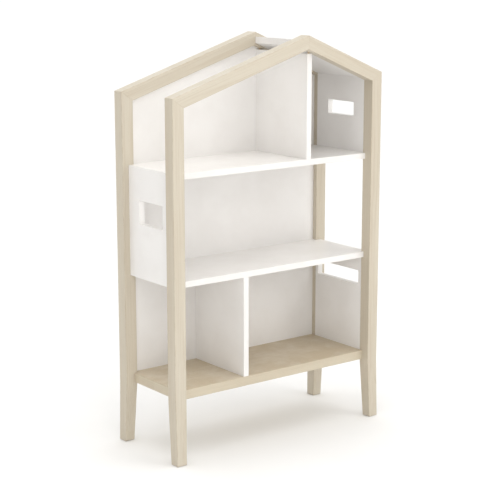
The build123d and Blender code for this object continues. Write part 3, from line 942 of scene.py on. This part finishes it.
class BOOKCASE_OT_dividers(Operator):
    """Two white upright dividers, cut square at both ends"""

    bl_idname = "bookcase.dividers"
    bl_label = "Dividers"

    def execute(self, context):
        for name in ("lower_divider", "upper_divider"):
            divider = ease_board(block(*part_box(name)), context.scene.bookcase_lacquer.edge)
            finish_piece(divider, f"{name}_board", name, lacquer(f"lacquer_{name}"))
        return {"FINISHED"}


class BOOKCASE_OT_back_panels(Operator):
    """Three thin white backs held in grooves of the back frame"""

    bl_idname = "bookcase.back_panels"
    bl_label = "Back Panels"

    def execute(self, context):
        for name in ("lower_back_panel", "middle_back_panel", "upper_back_panel"):
            dress(name, lacquer(f"lacquer_{name}", roughness=0.46, relief=BACK_PEEL_RELIEF))
        return {"FINISHED"}


# ---- joinery and feet
class BOOKCASE_OT_joinery(Operator):
    """Dowels and splines inside the joints"""

    bl_idname = "bookcase.joinery"
    bl_label = "Dowels and Splines"

    def execute(self, context):
        beech = raw_wood("beech_dowel_stock", BEECH, DARK_BEECH, ring_spacing=0.0021)
        for name in ("eave_dowels", "apex_dowels", "rear_shelf_dowels", "front_shelf_dowels",
                     "side_panel_dowels", "divider_dowels", "divider_head_dowels"):
            dress(name, beech)
        dress("mitre_splines", raw_wood("birch_ply_stock", PLY, DARK_PLY, ring_spacing=0.0013))
        return {"FINISHED"}


MERGE = 1e-5  # corners of the loose triangles closer than this are one corner
FLAT = radians(2)  # triangles that turn less than this are one face
GLIDE_SIDES = 48


class BOOKCASE_OT_connector_screws(Operator):
    """Socket-headed connector screws sunk in the back frame"""

    bl_idname = "bookcase.connector_screws"
    bl_label = "Connector Screws"

    def execute(self, context):
        screws = bmesh.new()
        screws.from_mesh(frame["nodes"]["connector_screws"].data)
        bmesh.ops.remove_doubles(screws, verts=screws.verts, dist=MERGE)
        bmesh.ops.dissolve_limit(screws, angle_limit=FLAT, verts=screws.verts, edges=screws.edges)
        head_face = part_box("connector_screws")[1].y
        rims = [edge for edge in sharp_edges(screws)
                if min(v.co.y for v in edge.verts) > head_face - MERGE]
        soften(screws, rims, context.scene.bookcase_hardware.screw_edge)
        finish_piece(screws, "connector_screw_set", "connector_screws", zinc())
        return {"FINISHED"}


class BOOKCASE_OT_foot_glides(Operator):
    """Nylon glides let into the feet"""

    bl_idname = "bookcase.foot_glides"
    bl_label = "Foot Glides"

    def execute(self, context):
        hardware = context.scene.bookcase_hardware
        low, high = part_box("foot_glides")
        radius = hardware.glide_diameter / 2
        glides = bmesh.new()
        for x in (low.x + radius, high.x - radius):
            for y in (low.y + radius, high.y - radius):
                place = Matrix.Translation((x, y, (low.z + high.z) / 2))
                bmesh.ops.create_cone(glides, cap_ends=True, segments=GLIDE_SIDES, radius1=radius,
                                      radius2=radius, depth=high.z - low.z, matrix=place)
        rims = [edge for edge in sharp_edges(glides)
                if max(v.co.z for v in edge.verts) < low.z + TOUCH]
        soften(glides, rims, hardware.glide_edge, segments=4)
        finish_piece(glides, "foot_glide_set", "foot_glides", nylon())
        return {"FINISHED"}


# ---- studio
FLOOR_SQUARES = 8
MOTTLE, MOTTLE_SHADE = 2.5, 0.985  # scale of the floor's faint mottle, and how dark it gets
TENT_COLOUR = (1.0, 0.992, 0.975, 1)
LAMP_COLOUR = (1.0, 0.99, 0.97)


def lay_floor(studio):
    """Wide pale floor with a faint mottle."""
    sheet = bmesh.new()
    bmesh.ops.create_grid(
        sheet, x_segments=FLOOR_SQUARES, y_segments=FLOOR_SQUARES, size=studio.floor_size / 2)
    mesh = bpy.data.meshes.new("studio_floor")
    sheet.to_mesh(mesh)
    sheet.free()
    material, tree, shader, place = new_material("studio_floor_paint")
    mottle = remap(tree, noise(tree, place, MOTTLE, detail=3), *SPREAD)
    paint = (*studio.floor_paint, 1)
    shaded = (*(MOTTLE_SHADE * part for part in studio.floor_paint), 1)
    tree.links.new(blend(tree, mottle, paint, shaded), shader.inputs["Base Color"])
    shader.inputs["Roughness"].default_value = 0.75
    shader.inputs["Specular IOR Level"].default_value = 0.0
    mesh.materials.append(material)
    floor = bpy.data.objects.new("studio_floor", mesh)
    bpy.context.scene.collection.objects.link(floor)


def hang_tent(studio):
    """Soft light from all round, strongest overhead and none at the horizon."""
    world = bpy.data.worlds.new("studio_sky")
    world.use_nodes = True
    tree = world.node_tree
    tree.nodes.clear()
    height = put(tree, "SeparateXYZ", {0: put(tree, "TexCoord").outputs["Generated"]}).outputs["Z"]
    height = maths(tree, "MAXIMUM", height, 0.0)
    rise = maths(tree, "ADD", maths(tree, "MULTIPLY", height, studio.zenith), studio.tent)
    seen = put(tree, "LightPath").outputs["Is Camera Ray"]
    strength = maths(tree, "MAXIMUM", maths(tree, "MULTIPLY", rise, height),
                     maths(tree, "MULTIPLY", seen, studio.backdrop))
    sky = put(tree, "Background", {"Color": TENT_COLOUR, "Strength": strength})
    tree.links.new(sky.outputs[0], put(tree, "OutputWorld").inputs["Surface"])
    bpy.context.scene.world = world


def add_softbox(name, place, power, studio):
    """Large square area light that looks at the bookcase."""
    light = bpy.data.lights.new(name, "AREA")
    light.shape, light.size = "SQUARE", studio.softbox
    light.energy, light.color = power, LAMP_COLOUR
    lamp = bpy.data.objects.new(name, light)
    lamp.location = place
    look = Vector(studio.softbox_aim) - Vector(place)
    lamp.rotation_euler = look.to_track_quat("-Z", "Y").to_euler()
    bpy.context.scene.collection.objects.link(lamp)


def set_camera(studio):
    """Long lens in front on the left, looking slightly down."""
    camera = bpy.data.objects.new("camera", bpy.data.cameras.new("camera"))
    camera.data.lens = studio.lens
    camera.data.clip_end = studio.floor_size
    camera.location = studio.camera_place
    camera.rotation_euler = (pi / 2 - studio.camera_dip, 0, -studio.camera_turn)
    bpy.context.scene.collection.objects.link(camera)
    bpy.context.scene.camera = camera
    bpy.context.scene.view_settings.view_transform = "Standard"


class BOOKCASE_OT_stage(Operator):
    """Pale floor, soft light and the camera"""

    bl_idname = "bookcase.stage"
    bl_label = "Stage"

    def execute(self, context):
        studio = context.scene.bookcase_studio
        lay_floor(studio)
        hang_tent(studio)
        add_softbox("left_softbox", studio.left_softbox, studio.left_power, studio)
        add_softbox("right_softbox", studio.right_softbox, studio.right_power, studio)
        set_camera(studio)
        return {"FINISHED"}


# ---- add-on
steps = (BOOKCASE_OT_legs, BOOKCASE_OT_rafters, BOOKCASE_OT_bottom_shelf, BOOKCASE_OT_white_shelves,
         BOOKCASE_OT_side_panels, BOOKCASE_OT_roof_panel, BOOKCASE_OT_dividers, BOOKCASE_OT_back_panels,
         BOOKCASE_OT_joinery, BOOKCASE_OT_connector_screws, BOOKCASE_OT_foot_glides, BOOKCASE_OT_stage)


class BOOKCASE_PT_panel(Panel):
    """Sidebar panel with every step in order"""

    bl_idname = "BOOKCASE_PT_panel"
    bl_label = "House Bookcase"
    bl_space_type = "VIEW_3D"
    bl_region_type = "UI"
    bl_category = "Bookcase"

    def draw(self, context):
        for step in steps:
            self.layout.operator(step.bl_idname)


settings_groups = {"bookcase_timber": TimberSettings, "bookcase_lacquer": LacquerSettings,
                   "bookcase_hardware": HardwareSettings, "bookcase_studio": StudioSettings}


def register():
    """Register the settings, the steps and the panel."""
    for name, settings in settings_groups.items():
        bpy.utils.register_class(settings)
        setattr(bpy.types.Scene, name, PointerProperty(type=settings))
    for step in (*steps, BOOKCASE_PT_panel):
        bpy.utils.register_class(step)


def unregister():
    """Take everything out again, in reverse order."""
    for step in (BOOKCASE_PT_panel, *reversed(steps)):
        bpy.utils.unregister_class(step)
    for name, settings in reversed(settings_groups.items()):
        delattr(bpy.types.Scene, name)
        bpy.utils.unregister_class(settings)


def main():
    register()
    for step in steps:
        family, operation = step.bl_idname.split(".")
        getattr(getattr(bpy.ops, family), operation)()


if __name__ == "__main__":
    main()
